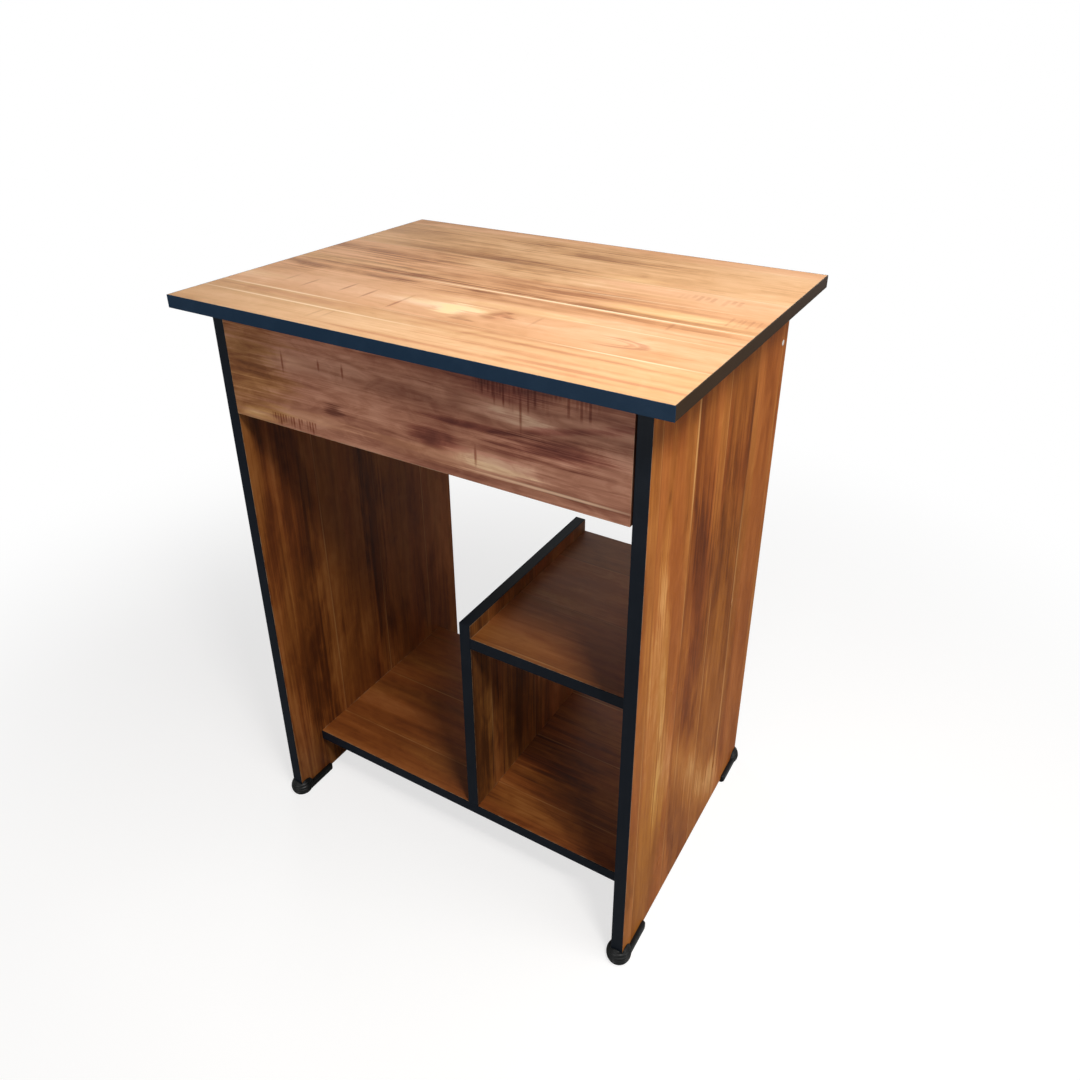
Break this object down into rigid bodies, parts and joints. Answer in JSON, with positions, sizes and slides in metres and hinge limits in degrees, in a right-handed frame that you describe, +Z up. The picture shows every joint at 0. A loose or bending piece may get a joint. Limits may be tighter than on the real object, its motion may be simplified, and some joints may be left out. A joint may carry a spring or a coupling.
{
  "type": "computer table",
  "caption": "Small upright computer table in wood-print board with black edge bands, a pull-out drawer under the top, a divider, side shelf, bottom shelf and shoe feet.",
  "frame": {"origin": "on the floor under the middle of the table top", "axes": "+X towards the user's right, +Y towards the back, +Z up"},
  "size_m": [0.6, 0.452, 0.754],
  "materials": {
    "wood_top": "satin wood-print laminate, golden brown with plank joints",
    "wood_side": "satin wood-print laminate, orange brown, grain upright",
    "wood_inside": "satin wood-print laminate, brown",
    "wood_drawer": "satin wood-print laminate, reddish brown, grain level",
    "hardboard": "dull pressed fibre",
    "black_band": "fine-grained blue-black PVC tape",
    "black_plastic": "moulded black plastic",
    "zinc_steel": "zinc-plated steel",
    "cage_steel": "plated strip with bright balls",
    "cam_zinc": "die-cast zinc"
  },
  "bodies": {
    "carcass": {"table_top": "wood_top", "top_band_front": "black_band", "top_band_rear": "black_band", "top_band_left": "black_band", "top_band_right": "black_band", "side_panel_left": "wood_side", "side_panel_right": "wood_side", "side_band_left": "black_band", "side_band_right": "black_band", "rear_rail": "wood_inside", "divider": "wood_inside", "divider_band_front": "black_band", "divider_band_top": "black_band", "middle_shelf": "wood_inside", "middle_shelf_band": "black_band", "bottom_shelf": "wood_inside", "bottom_shelf_band": "black_band", "foot_left_front": "black_plastic", "foot_left_rear": "black_plastic", "foot_right_front": "black_plastic", "foot_right_rear": "black_plastic", "cam_lock_left_front": "cam_zinc", "cam_lock_left_rear": "cam_zinc", "cam_lock_right_front": "cam_zinc", "cam_lock_right_rear": "cam_zinc", "cam_bolt_left_front": "zinc_steel", "cam_bolt_left_rear": "zinc_steel", "cam_bolt_right_front": "zinc_steel", "cam_bolt_right_rear": "zinc_steel", "bottom_shelf_screw_left_front": "zinc_steel", "bottom_shelf_screw_left_rear": "zinc_steel", "bottom_shelf_screw_right_front": "zinc_steel", "bottom_shelf_screw_right_rear": "zinc_steel", "middle_shelf_screw_left_front": "zinc_steel", "middle_shelf_screw_left_rear": "zinc_steel", "middle_shelf_screw_right_front": "zinc_steel", "middle_shelf_screw_right_rear": "zinc_steel", "divider_screw_front": "zinc_steel", "divider_screw_rear": "zinc_steel", "rail_screw_left": "zinc_steel", "rail_screw_right": "zinc_steel", "slide_cabinet_member_left": "zinc_steel", "slide_cabinet_member_right": "zinc_steel", "cabinet_screw_left_front": "zinc_steel", "cabinet_screw_left_rear": "zinc_steel", "cabinet_screw_right_front": "zinc_steel", "cabinet_screw_right_rear": "zinc_steel"},
    "drawer": {"drawer_front": "wood_drawer", "drawer_side_left": "wood_inside", "drawer_side_right": "wood_inside", "drawer_back": "wood_inside", "drawer_bottom": "hardboard", "slide_drawer_member_left": "zinc_steel", "slide_drawer_member_right": "zinc_steel", "drawer_screw_left_front": "zinc_steel", "drawer_screw_left_rear": "zinc_steel", "drawer_screw_right_front": "zinc_steel", "drawer_screw_right_rear": "zinc_steel"},
    "ball_cage_left": {"slide_ball_cage_left": "cage_steel"},
    "ball_cage_right": {"slide_ball_cage_right": "cage_steel"}
  },
  "joints": [
    {"name": "drawer_slide", "type": "slide", "parent": "carcass", "child": "drawer", "axis": [0, -1, 0], "range_m": [0, 0.225]},
    {"name": "cage_roll_left", "type": "slide", "parent": "carcass", "child": "ball_cage_left", "axis": [0, -1, 0], "range_m": [0, 0.1125]},
    {"name": "cage_roll_right", "type": "slide", "parent": "carcass", "child": "ball_cage_right", "axis": [0, -1, 0], "range_m": [0, 0.1125]}
  ],
  "couplings": [
    {"joint": "cage_roll_left", "follows": "drawer_slide", "ratio": 0.5},
    {"joint": "cage_roll_right", "follows": "drawer_slide", "ratio": 0.5}
  ]
}
